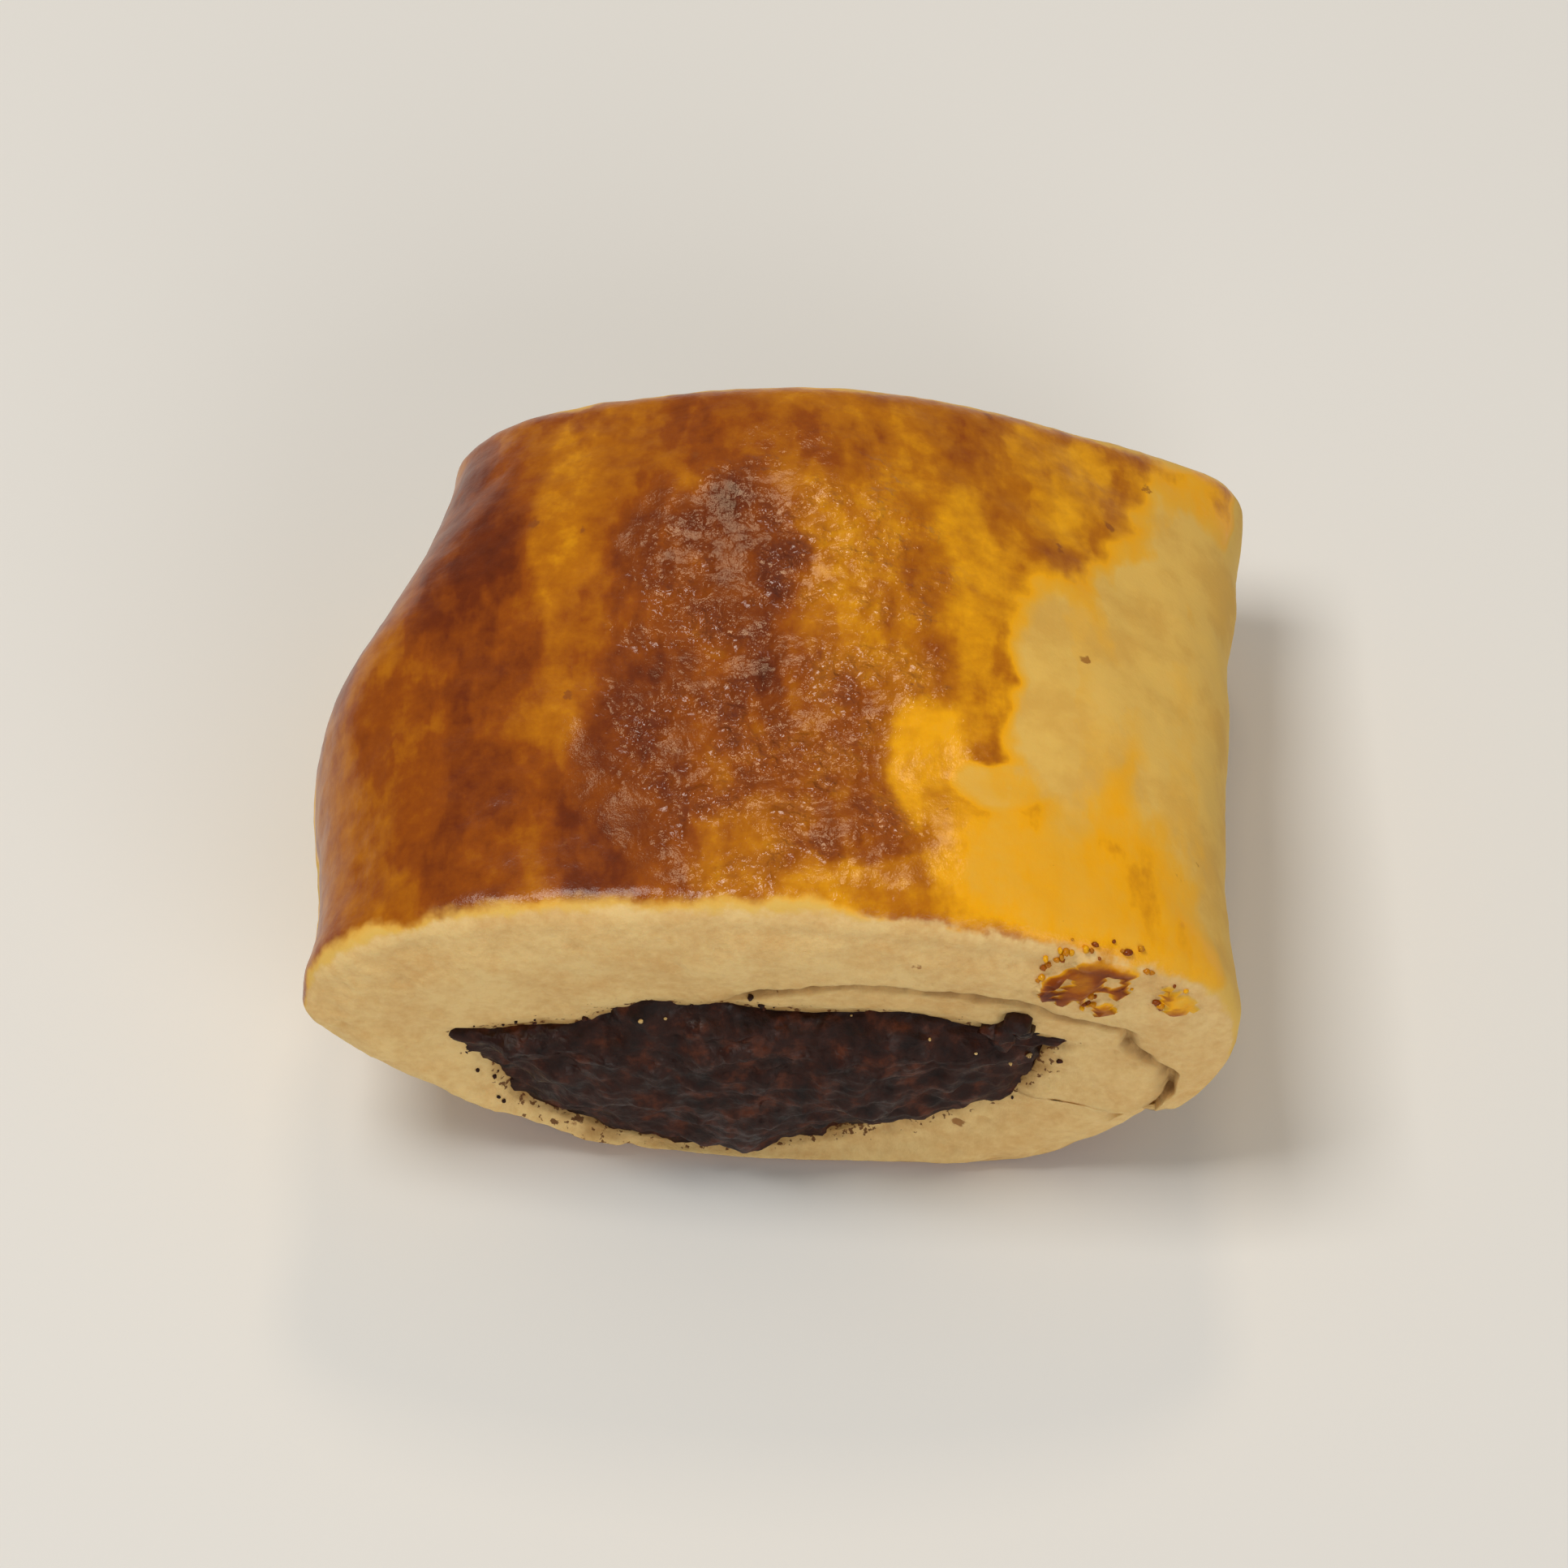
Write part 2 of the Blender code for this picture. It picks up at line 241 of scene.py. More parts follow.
def core_section(angle, along, share=1.0):
    """The date core's section: share 0 lies at its middle and 1 at its edge."""
    reach = 0.0
    for place, breadth, height in TONGUES:
        off = (np.degrees(angle) - place - TONGUE_TURN * (along + 1.0)) % 360.0
        reach = reach + height * bell(np.minimum(off, 360.0 - off), breadth)
    squareness = np.where(np.sin(angle) > 0.0, CORE_TOP_SQUARENESS, CORE_BASE_SQUARENESS)
    left = CORE_LEFT - CORE_LEFT_TAPER * (along + 1.0)
    x, z = rounded_oval(angle, CORE_RIGHT, left, CORE_UP, CORE_DOWN, squareness)
    dipped = 1.0 - CORE_LEFT_DIP * smooth_step(0.34, 0.62, -x / left)
    z = np.where(z > 0.0, z * dipped, z)
    x = np.where(z < 0.0, x - CORE_SLUMP * (z / CORE_DOWN) ** 2, x)
    grown = share + reach * share ** 3 / np.hypot(x, z)
    return CORE_CENTRE_X + x * grown, CORE_CENTRE_Z + z * grown


def seam_share(angle):
    """Where the seam lies between the core (0) and the outside (1), all the way round."""
    past = degrees_past_start(angle)
    home = (past - SEAM_SWEEP) / (360.0 - SEAM_SWEEP)
    leaves_core = smooth_step(0.0, 26.0, past)
    meets_flank = smooth_step(88.0, SEAM_SWEEP, past)
    rolled = SEAM_IN + (SEAM_MID - SEAM_IN) * leaves_core + (SEAM_OUT - SEAM_MID) * meets_flank
    return np.where(past > SEAM_SWEEP, SEAM_OUT + (SEAM_IN - SEAM_OUT) * home, rolled)


def seam_opening(angle):
    """1 where the seam is open and 0 where the layers are one."""
    past = degrees_past_start(angle)
    return smooth_step(2.0, 14.0, past) * (1.0 - smooth_step(SEAM_SWEEP, SEAM_SWEEP + 8.0, past))


def rim_radius(angle):
    """The cut edge is rounded off most on top, where the knife drew the dough down."""
    on_top = np.maximum(0.0, np.sin(angle)) ** 0.7
    return LOW_RIM_RADIUS + (TOP_RIM_RADIUS - LOW_RIM_RADIUS) * on_top


def as_cut(x, y, z, length):
    """Leans and skews both ends as the knife did, and moves the piece over the origin."""
    end = y / (0.5 * length)
    share = smooth_step(0.3, 1.0, np.abs(end))
    skew = np.where(end < 0.0, FRONT_SKEW, BACK_SKEW)
    lean = np.where(end < 0.0, FRONT_LEAN, -BACK_LEAN)
    slant = skew * x + lean * (z - MID_HEIGHT)
    return np.stack([x - MIDDLE_X, y + share * slant - MIDDLE_Y, z], axis=-1)


def even_angles(columns, section, crowd=None):
    """Angles that divide a section into even lengths, closer together where crowd asks for it."""
    fine = np.linspace(-math.pi, math.pi, 12001)
    x, z = section(fine)
    steps = np.hypot(np.diff(x), np.diff(z))
    if crowd is not None:
        steps = steps * crowd(0.5 * (fine[1:] + fine[:-1]))
    run = np.concatenate([[0.0], np.cumsum(steps)])
    places = np.arange(columns) / columns * run[-1]
    return np.interp(places, run, fine)


def fractal(points, grain, seed, octaves):
    """Layered noise at each point, about -1 to 1, whose largest features are grain metres across."""
    flat = points.reshape(-1, 3) / grain + seed * 7.31
    values = [noise.fractal(Vector(place), 0.9, 2.1, octaves) for place in flat]
    return np.array(values).reshape(points.shape[:-1])


def cells(points, grain, seed):
    """Distance from each point to the nearest cell centre, in cells of grain metres."""
    flat = points.reshape(-1, 3) / grain + seed * 5.17
    near = [noise.voronoi(Vector(place))[0][0] for place in flat]
    return np.array(near).reshape(points.shape[:-1])


def rough(points, relief, seed, octaves):
    """Uneven relief of the given width and height, in metres."""
    grain, height = relief
    return height * fractal(points, grain, seed, octaves)


def dots(points, relief, reach, seed):
    """Round relief of the given width and height, one in each cell, in metres."""
    grain, height = relief
    return height * (1.0 - smooth_step(0.0, reach, cells(points, grain, seed)))


def grid_normals(points, closed):
    """Unit normals of a grid of points whose columns run round and whose rows may run round too."""
    across = np.roll(points, -1, axis=1) - np.roll(points, 1, axis=1)
    if closed:
        down = np.roll(points, -1, axis=0) - np.roll(points, 1, axis=0)
    else:
        down = np.gradient(points, axis=0)
    normal = np.cross(down, across)
    length = np.linalg.norm(normal, axis=-1, keepdims=True)
    return normal / np.maximum(length, 1e-12)


def grid_faces(rows, columns, closed):
    """Four-sided faces between neighbouring rows and columns of a grid."""
    row = np.arange(rows if closed else rows - 1)
    column = np.arange(columns)
    here, side = np.meshgrid(row, column, indexing="ij")
    there = (here + 1) % rows
    after = (side + 1) % columns
    near, far = here * columns, there * columns
    return np.stack([near + side, near + after, far + after, far + side], axis=-1).reshape(-1, 4)


def new_mesh_object(name, points, faces, fields, material):
    """A smooth-shaded mesh object with a float attribute for each named field."""
    mesh = bpy.data.meshes.new(name)
    mesh.from_pydata(points.tolist(), [], faces)
    mesh.validate()
    for field, values in fields.items():
        layer = mesh.attributes.new(field, "FLOAT", "POINT")
        layer.data.foreach_set("value", np.ascontiguousarray(values, dtype=np.float32))
    mesh.materials.append(material)
    mesh.shade_smooth()
    piece = bpy.data.objects.new(name, mesh)
    bpy.context.scene.collection.objects.link(piece)
    return piece


# Where the brush and the oven left their marks on the top, in millimetres of the plan:
# middle across, middle along, reach across, reach along, and how brown it is there
BROWN_PATCHES = (
    (-18.5, -5.0, 3.5, 12.0, 0.63),
    (-13.2, 3.4, 3.0, 9.0, 0.71),
    (-13.6, -9.5, 3.4, 5.5, 0.73),
    (-2.5, -7.5, 8.0, 8.2, 0.67),
    (-6.0, -4.5, 3.0, 3.5, 0.72),
    (-9.6, 4.0, 1.7, 9.8, 0.56),
    (-6.0, 6.5, 2.2, 6.5, 0.64),
    (-1.7, 3.4, 2.7, 5.2, 0.80),
    (-0.3, -3.8, 0.9, 2.0, 0.80),
    (3.0, -3.6, 0.9, 1.2, 0.74),
    (2.6, -9.6, 2.0, 1.6, 0.64),
    (-8.2, -11.2, 2.4, 3.2, 0.70),
    (-2.2, -11.4, 2.6, 2.4, 0.56),
    (4.3, 5.5, 3.2, 8.4, 0.54),
    (8.8, 3.0, 2.1, 8.8, 0.48),
    (11.6, 11.0, 3.4, 4.2, 0.43),
    (6.4, -7.2, 2.4, 3.2, 0.40),
    (4.5, -13.6, 5.4, 1.8, 0.46),
    (17.0, -11.5, 5.0, 6.5, 0.26),
    (11.2, -11.6, 5.0, 3.2, 0.32),
    (9.6, -7.6, 2.0, 1.4, 0.20),
    (12.7, -2.0, 2.8, 7.0, 0.03),
    (18.6, 2.0, 4.4, 12.0, 0.02),
)
TOP_BROWNING = 0.58
# The patches' edges fade over this share of their reach, and wander so many millimetres
PATCH_FADE = (0.72, 1.22)
PATCH_WANDER = 1.2
WANDER_SIZE = 5.0 * MM
# The glaze ends on the flanks where the dough faces up no more than this, and unevenly
LEFT_GLAZE_ENDS = (-0.06, 0.16)
RIGHT_GLAZE_ENDS = (0.42, 0.66)
GLAZE_UNEVENNESS = 0.22


def brown_level(points, up):
    """How far the glaze has browned: 0 bare dough, 0.5 amber, 1 nearly burnt."""
    across = points[..., 0] / MM + PATCH_WANDER * fractal(points, WANDER_SIZE, 21.0, 4)
    along = points[..., 1] / MM + PATCH_WANDER * fractal(points, WANDER_SIZE, 23.0, 4)
    level = np.full(across.shape, TOP_BROWNING)
    for middle_x, middle_y, reach_x, reach_y, brown in BROWN_PATCHES:
        out = np.hypot((across - middle_x) / reach_x, (along - middle_y) / reach_y)
        level = level + (brown - level) * (1.0 - smooth_step(*PATCH_FADE, out))
    uneven = up + GLAZE_UNEVENNESS * fractal(points, WANDER_SIZE, 25.0, 3)
    brushed_left = smooth_step(*LEFT_GLAZE_ENDS, uneven)
    brushed_right = smooth_step(*RIGHT_GLAZE_ENDS, uneven)
    return level * np.where(points[..., 0] < 0.0, brushed_left, brushed_right)


# Where the blisters lie on the top, in millimetres of the plan
BLISTERED_MIDDLE = (1.0, -3.0)
BLISTERED_REACH = (8.2, 13.0)


def blistered_share(points, brown):
    """Where the thick wash in the middle of the top rose in tiny blisters, 0 to 1, in loose clusters."""
    across = (points[..., 0] / MM - BLISTERED_MIDDLE[0]) / BLISTERED_REACH[0]
    along = (points[..., 1] / MM - BLISTERED_MIDDLE[1]) / BLISTERED_REACH[1]
    inside = 1.0 - smooth_step(0.6, 1.25, np.hypot(across, along))
    clusters = smooth_step(-0.30, 0.45, fractal(points, 2.2 * MM, 8.0, 4))
    return inside * (0.08 + 0.92 * clusters) * smooth_step(0.40, 0.56, brown)


# Places on the front cut in millimetres, across and up, with their reach: scraps of crust that the
# knife dragged down, and a knob of paste that it tore out at the right end of the core
CRUST_SPOTS = ((12.6, 17.2, 1.9), (14.7, 17.5, 1.5), (13.6, 15.0, 0.7), (17.0, 15.2, 1.0))
TORN_KNOB = ((9.7, 12.4, 0.8), (10.7, 13.0, 0.6))
# All that lies in front of this is the front cut with its rounding
FRONT_CUT_Y = -13.0 * MM


def dragged_share(points):
    """Where scraps of crust cover the front cut, 0 to 1, with torn edges."""
    share = np.full(points.shape[:-1], -1.0)
    for across, up, reach in CRUST_SPOTS:
        away = np.hypot(points[..., 0] / MM - across, points[..., 2] / MM - up)
        share = np.maximum(share, 1.0 - away / reach)
    share = share + 0.85 * fractal(points, 1.3 * MM, 17.0, 4)
    return smooth_step(0.20, 0.42, share) * (points[..., 1] < FRONT_CUT_Y)


# How far the glaze runs down over the rounding of the cuts, further at the right of the front
FRONT_GLAZE = 0.9 * MM
FRONT_RIGHT_GLAZE = 1.0 * MM
BACK_GLAZE = 1.1 * MM


def glaze_edge(points):
    """How far the glaze reaches past the wall onto the cut's rounding, in metres."""
    right = smooth_step(1.0 * MM, 7.0 * MM, points[..., 0])
    front = FRONT_GLAZE + FRONT_RIGHT_GLAZE * right
    return np.where(points[..., 1] < 0.0, front, BACK_GLAZE)


def dough_grid(size):
    """The dough's fine surface as a grid of points, with each point's place on it."""
    length = size.length
    half = 0.5 * length

    def section(angle):
        return outer_section(angle, 0.0, size)

    def crowd(angle):
        return 1.0 + 1.6 * bell(degrees_past_start(angle) - SEAM_SWEEP, 4.0)

    angle = even_angles(DOUGH_COLUMNS, section, crowd)
    radius = rim_radius(angle)

    def on_wall(y, inset):
        x, z = outer_section(angle, y / half, size)
        core_x, core_z = core_section(angle, y / half)
        share = inset / np.hypot(x - core_x, z - core_z)
        return as_cut(x + (core_x - x) * share, y, z + (core_z - z) * share, length)

    def on_face(end, share):
        x, z = outer_section(angle, end, size)
        core_x, core_z = core_section(angle, end)
        thickness = np.hypot(x - core_x, z - core_z)
        seam = seam_share(angle) + ragged[end]
        inner = seam * share / SEAM_RING
        outer = seam + (1.0 - seam) * (share - SEAM_RING) / (1.0 - SEAM_RING)
        warped = np.where(share < SEAM_RING, inner, outer)
        out = warped * (thickness - radius) / thickness
        puff = DOUGH_PUFF * np.sin(math.pi * warped ** 2)
        lip = LIP_RADIUS * (1.0 - smooth_step(0.0, 0.2, warped))
        gape = size.seam_depth * seam_opening(angle) * (0.85 + 9.0 * ragged[end])
        groove = gape * bell((share - SEAM_RING) * thickness, SEAM_WIDTH)
        y = end * (half + puff - lip - groove)
        points = as_cut(core_x + (x - core_x) * out, y, core_z + (z - core_z) * out, length)
        return points, thickness * out

    around = np.stack([10.0 * np.cos(angle), np.zeros_like(angle), 10.0 * np.sin(angle)], axis=-1)
    ragged = {
        end: SEAM_WANDER * fractal(around * MM, SEAM_WANDER_SIZE, 30.0 + end, 4)
        for end in (FRONT, BACK)
    }
    face_shares = np.linspace(0.0, 1.0, FACE_ROWS, endpoint=False)
    turns = np.linspace(0.0, 0.5 * math.pi, RIM_ROWS, endpoint=False)
    marks = {"points": [], "cut": [], "seam": [], "from_core": [], "from_cut": []}

    def keep(points, cut=0.0, seam=0.0, from_core=FAR, from_cut=-FAR):
        marks["points"].append(points)
        marks["cut"].append(np.broadcast_to(cut, angle.shape))
        marks["seam"].append(np.broadcast_to(seam, angle.shape))
        marks["from_core"].append(np.broadcast_to(from_core, angle.shape))
        marks["from_cut"].append(np.broadcast_to(from_cut, angle.shape))

    def keep_face(end, shares):
        for share in shares:
            mark = bell((share - SEAM_RING) * 8.0, 0.34) * seam_opening(angle)
            reach = -radius * 0.5 * math.pi - (1.0 - share) * 6.0 * MM
            points, from_core = on_face(end, share)
            keep(points, 1.0, mark, from_core, reach)

    def keep_rim(end, bends):
        for turn in bends:
            y = end * (half - radius * (1.0 - np.cos(turn)))
            points = on_wall(y, radius * (1.0 - np.sin(turn)))
            keep(points, 1.0 - turn / (0.5 * math.pi), from_cut=-radius * (0.5 * math.pi - turn))

    keep_face(FRONT, face_shares)
    keep_rim(FRONT, turns)
    for share in np.linspace(0.0, 1.0, WALL_ROWS):
        y = (half - radius) * (2.0 * share - 1.0)
        keep(on_wall(y, 0.0), from_cut=half - radius - np.abs(y))
    keep_rim(BACK, turns[::-1])
    keep_face(BACK, face_shares[::-1])
    reach = half - LIP_RADIUS
    for y in np.linspace(reach, -reach, HOLE_ROWS + 2)[1:-1]:
        x, z = core_section(angle, y / half)
        keep(as_cut(x, np.full_like(x, y), z, length), 1.0, from_core=0.0)
    return {name: np.array(rows) for name, rows in marks.items()}


def build_dough(size, material):
    """The wrapped dough with its baked skin, blistered glaze, open crumb and seam as real relief."""
    marks = dough_grid(size)
    points, cut = marks["points"], marks["cut"]
    normals = grid_normals(points, closed=True)
    brown = brown_level(points, normals[..., 2])
    glazed = marks["from_cut"] + glaze_edge(points)
    skin = 1.0 - cut
    coated = smooth_step(-0.3 * MM, 0.8 * MM, glazed)
    relief = rough(points, SKIN_WAVES, 1.0, 2) * skin
    relief += rough(points, SKIN_RIPPLES, 2.0, 3) * (0.3 + 0.7 * skin)
    blistered = blistered_share(points, brown) * coated
    relief += dots(points, BLISTERS, 0.55, 3.0) * blistered
    dragged = dragged_share(points) * smooth_step(0.5, 1.0, cut)
    relief += dragged * (SCRAPS[1] + rough(points, SCRAPS, 18.0, 3))
    yellower = smooth_step(15.4 * MM, 16.6 * MM, points[..., 0])
    scraps = 0.66 - 0.26 * yellower + 0.30 * fractal(points, 1.0 * MM, 19.0, 3)
    relief += rough(points, CUT_LUMPS, 6.0, 3) * smooth_step(0.2, 1.0, cut)
    relief += rough(points, CUT_GRAIN, 4.0, 3) * smooth_step(0.4, 1.0, cut)
    relief -= dots(points, CUT_PITS, 0.26, 5.0) * smooth_step(0.6, 1.0, cut)
    relief *= smooth_step(0.0, 1.5 * MM, points[..., 2])
    moved = points + normals * relief[..., None]
    moved[..., 2] = np.maximum(0.0, moved[..., 2])
    low = 1.0 - smooth_step(0.5 * MM, 6.0 * MM, points[..., 2])
    under = smooth_step(-0.1, -0.8, normals[..., 2]) * low
    fields = {
        "brown": (brown + (scraps - brown) * dragged).ravel(),
        "blistered": blistered.ravel(),
        "glazed": (glazed / MM + 9.0 * dragged).ravel(),
        "cut": (cut * (1.0 - dragged)).ravel(),
        "seam": marks["seam"].ravel(),
        "from_core": (marks["from_core"] / MM).ravel(),
        "under": under.ravel(),
    }
    faces = grid_faces(*points.shape[:2], closed=True)[:, ::-1].tolist()
    return new_mesh_object("baked_dough", moved.reshape(-1, 3), faces, fields, material)


def build_paste(size, material):
    """The core of date paste, with lumpy, torn ends that swell out of the cuts and smear their edge."""
    length = size.length
    half = 0.5 * length

    def section(angle):
        return core_section(angle, FRONT)

    angle = even_angles(PASTE_COLUMNS, section)
    rows, bare, shares_kept = [], [], []

    def keep_cap(end, shares):
        bulge = size.paste_bulge * (1.0 if end < 0.0 else BACK_BULGE_SHARE)
        for share in shares:
            x, z = core_section(angle, end, share)
            full = bulge * (1.0 - min(1.0, share) ** 3) - 0.5 * MM * smooth_step(0.97, 1.12, share)
            rows.append(as_cut(x, end * (half - 0.05 * MM + full), z, length))
            bare.append(np.ones_like(angle))
            shares_kept.append(np.full_like(angle, share))

    shares = np.linspace(0.004, 1.10, CAP_ROWS)
    keep_cap(FRONT, shares)
    reach = half - 1.2 * MM
    for y in np.linspace(-reach, reach, CORE_ROWS):
        x, z = core_section(angle, y / half, 1.01)
        rows.append(as_cut(x, np.full_like(x, y), z, length))
        bare.append(np.zeros_like(angle))
        shares_kept.append(np.full_like(angle, 1.2))
    keep_cap(BACK, shares[::-1])
    points = np.array(rows)
    bare = np.array(bare)
    normals = grid_normals(points, closed=False)
    outward = np.zeros_like(points)
    outward[..., 1] = np.sign(points[..., 1])
    lumps = rough(points, PASTE_LUMPS, 11.0, 3)
    lumps += rough(points, PASTE_KNOBS, 12.0, 3)
    drawn = points * np.array([0.3, 1.0, 1.0])
    lumps += rough(drawn, PASTE_FIBRES, 14.0, 2)
    lumps += dots(points, PASTE_GRAINS, 0.6, 13.0) - PASTE_SINK
    moved = points + (0.6 * normals + 0.4 * outward) * (lumps * bare)[..., None]
    middle_front = moved[0].mean(axis=0)
    middle_back = moved[-1].mean(axis=0)
    columns = len(angle)
    total = points.shape[0] * columns
    faces = grid_faces(points.shape[0], columns, closed=False)[:, ::-1].tolist()
    last = total - columns
    for side in range(columns):
        after = (side + 1) % columns
        faces.append((total, side, after))
        faces.append((total + 1, last + after, last + side))
    spots = np.concatenate([moved.reshape(-1, 3), [middle_front, middle_back]])
    fields = {"share": np.concatenate([np.array(shares_kept).ravel(), [0.0, 0.0]])}
    return new_mesh_object("date_paste_core", spots, faces, fields, material)


# The smallest and the largest radius of each kind of crumb, in millimetres
DATE_CRUMB = (0.05, 0.17)
TORN_BIT = (0.45, 0.80)
CRUST_FLAKE = (0.07, 0.25)
DOUGH_CRUMB = (0.06, 0.18)
# No date crumbs stick lower than this, in millimetres
LOWEST_CRUMB = 3.2
# The crumbs at chosen spots lie in front of this, on the front cut, in millimetres
SPOTS_IN_FRONT_OF = -13.6
# Only the ends of the paste lie further than this from the middle, in millimetres
PASTE_ENDS = 14.0


def small_lump(rng, radius):
    """Corners and triangles of one crumb: a ball of the given size, pressed and knobbly."""
    ball = bmesh.new()
    bmesh.ops.create_icosphere(ball, subdivisions=2, radius=radius)
    seed = rng.uniform(0.0, 50.0, 3)
    squash = rng.uniform(0.6, 1.1, 3)
    corners = []
    for corner in ball.verts:
        knob = 1.0 + 0.38 * noise.fractal(corner.co / radius * 1.1 + Vector(seed), 0.9, 2.1, 3)
        corners.append(np.array(corner.co) * squash * knob)
    triangles = np.array([[corner.index for corner in face.verts] for face in ball.faces])
    ball.free()
    return np.array(corners), triangles


def scatter_crumbs(name, host, spots, radii, fields, material, rng):
    """Lays one crumb on each chosen corner of a piece, joined to one mesh; fields hold crumb levels."""
    corners, triangles, sizes = [], [], []
    for spot, radius in zip(spots, radii):
        corner = host.data.vertices[int(spot)]
        lump, faces = small_lump(rng, radius)
        corners.append(lump + np.array(corner.co + corner.normal * radius * 0.35))
        triangles.append(faces + sum(sizes))
        sizes.append(len(lump))
    points = np.concatenate(corners)
    points[:, 2] = np.maximum(0.0, points[:, 2])
    layers = {
        field: np.repeat(np.broadcast_to(level, len(sizes)), sizes)
        for field, level in fields.items()
    }
    return new_mesh_object(name, points, np.concatenate(triangles).tolist(), layers, material)


def chosen_corners(host, field, low, high, inside, count, rng):
    """Seeded picks among a piece's corners that face the cuts, by a field's range and a place test."""
    values = np.empty(len(host.data.vertices), dtype=np.float32)
    host.data.attributes[field].data.foreach_get("value", values)
    flat = np.empty(len(values) * 3, dtype=np.float32)
    host.data.vertices.foreach_get("co", flat)
    places = flat.reshape(-1, 3) / MM
    fitting = np.flatnonzero((values > low) & (values < high) & inside(places))
    return rng.choice(fitting, size=count, replace=False)


def near_spots(spots):
    """A test for places at the front cut, in millimetres, by a list of middles and reaches across it."""

    def inside(p):
        close = [np.hypot(p[:, 0] - x, p[:, 2] - z) < reach for x, z, reach in spots]
        return (p[:, 1] < SPOTS_IN_FRONT_OF) & np.any(close, axis=0)

    return inside


def build_crumbs(dough, paste, count):
    """Specks of date and flakes of crust that the knife dragged over the cut faces."""
    rng = np.random.default_rng(7)
    above = chosen_corners(
        dough, "from_core", 0.1, 1.3, lambda p: p[:, 2] > LOWEST_CRUMB, count, rng
    )
    torn = chosen_corners(dough, "cut", 0.9, 1.1, near_spots(TORN_KNOB), count // 9, rng)
    spots = np.concatenate([above, torn])
    small, large = rng.uniform(*DATE_CRUMB, len(above)), rng.uniform(*TORN_BIT, len(torn))
    radii = np.concatenate([small, large]) * MM
    date_bits = scatter_crumbs("date_crumbs", dough, spots, radii, {}, paste.data.materials[0], rng)

    flakes = chosen_corners(dough, "glazed", -4.5, 1.5, near_spots(CRUST_SPOTS), count // 2, rng)
    levels = {
        "brown": rng.uniform(0.36, 0.78, len(flakes)),
        "blistered": 0.0,
        "glazed": 6.0,
        "cut": 0.0,
        "from_core": 9.0,
    }
    radii = rng.uniform(*CRUST_FLAKE, len(flakes)) * MM
    crust = scatter_crumbs("crust_crumbs", dough, flakes, radii, levels, dough.data.materials[0], rng)

    on_paste = chosen_corners(
        paste, "share", 0.86, 1.0, lambda p: np.abs(p[:, 1]) > PASTE_ENDS, count // 4, rng
    )
    levels = {"brown": 0.0, "blistered": 0.0, "glazed": -6.0, "cut": 1.0, "from_core": 0.6}
    radii = rng.uniform(*DOUGH_CRUMB, len(on_paste)) * MM
    crumb = scatter_crumbs("dough_crumbs", paste, on_paste, radii, levels, dough.data.materials[0], rng)
    return date_bits, crust, crumb


def srgb(code):
    """A linear colour from an sRGB hex code."""
    parts = [int(code[place : place + 2], 16) / 255.0 for place in (1, 3, 5)]
    linear = [part / 12.92 if part <= 0.04045 else ((part + 0.055) / 1.055) ** 2.4 for part in parts]
    return (*linear, 1.0)


MATH = "ShaderNodeMath"
RANGE = "ShaderNodeMapRange"
MIX = "ShaderNodeMix"
RAMP = "ShaderNodeValToRGB"
NOISE = "ShaderNodeTexNoise"
CELLS = "ShaderNodeTexVoronoi"
BUMP = "ShaderNodeBump"


def add_node(tree, kind, feeds=(), output=0, stops=(), **settings):
    """Adds a node and returns one of its outputs.

    The feeds are values or sockets for its inputs, in order, or by name or place in a dictionary.
    The stops are the positions and hex colours of its ramp, and the settings its other choices.
    """
    node = tree.nodes.new(kind)
    for name, value in settings.items():
        setattr(node, name, value)
    for place, feed in feeds.items() if isinstance(feeds, dict) else enumerate(feeds):
        if isinstance(feed, bpy.types.NodeSocket):
            tree.links.new(feed, node.inputs[place])
        else:
            node.inputs[place].default_value = feed
    if stops:
        elements = node.color_ramp.elements
        while len(elements) < len(stops):
            elements.new(0.5)
        for element, (position, shade) in zip(elements, stops):
            element.position = position
            element.color = srgb(shade)
    return node.outputs[output]


def new_material(name, finish):
    """A material with the given finish, its nodes, its surface shader and the object's coordinates."""
    material = bpy.data.materials.new(name)
    material.use_nodes = True
    tree = material.node_tree
    surface = tree.nodes["Principled BSDF"]
    for setting, value in finish.items():
        surface.inputs[setting].default_value = value
    where = add_node(tree, "ShaderNodeTexCoord", output="Object")
    return material, tree, surface, where


# The dough's noise patterns: their width in millimetres, detail and roughness
DOUGH_PATTERNS = {
    "broad_wash": (5.0, 3.0, 0.5),
    "narrow_wash": (2.6, 4.0, 0.55),
    "pale_wash": (3.2, 5.0, 0.6),
    "mottle": (1.1, 5.0, 0.62),
    "glaze_edge": (2.6, 4.0, 0.55),
    "blotch": (3.6, 5.0, 0.6),
    "crumb": (0.45, 4.0, 0.6),
    "crumb_tone": (3.0, 3.0, 0.55),
    "ragged": (0.9, 3.0, 0.55),
    "base_edge": (2.2, 4.0, 0.55),
    "stain_edge": (1.6, 3.0, 0.55),
    "grit": (0.42, 3.0, 0.6),
    "speck_edge": (0.7, 4.0, 0.55),
    "skin": (0.5, 4.0, 0.65),
}
# These are drawn out along the brush's way
BRUSHED = ("broad_wash", "narrow_wash", "pale_wash")
BRUSH_STRETCH = (1.0, 0.42, 1.0)
# The glitter of the blisters is drawn 0.45 mm wide, coarser than it is, so that it shows
BUBBLE_WIDTH = 0.45
# The baked specks are about so many millimetres apart
SPECK_SPACING = 3.2
DOUGH_FINISH = {
    "Coat Roughness": 0.15,
    "Coat IOR": 1.45,
    "IOR": 1.45,
    "Specular IOR Level": 0.08,
    "Subsurface Weight": 0.15,
    "Subsurface Radius": (1.0, 0.6, 0.3),
    "Subsurface Scale": 1.5 * MM,
}


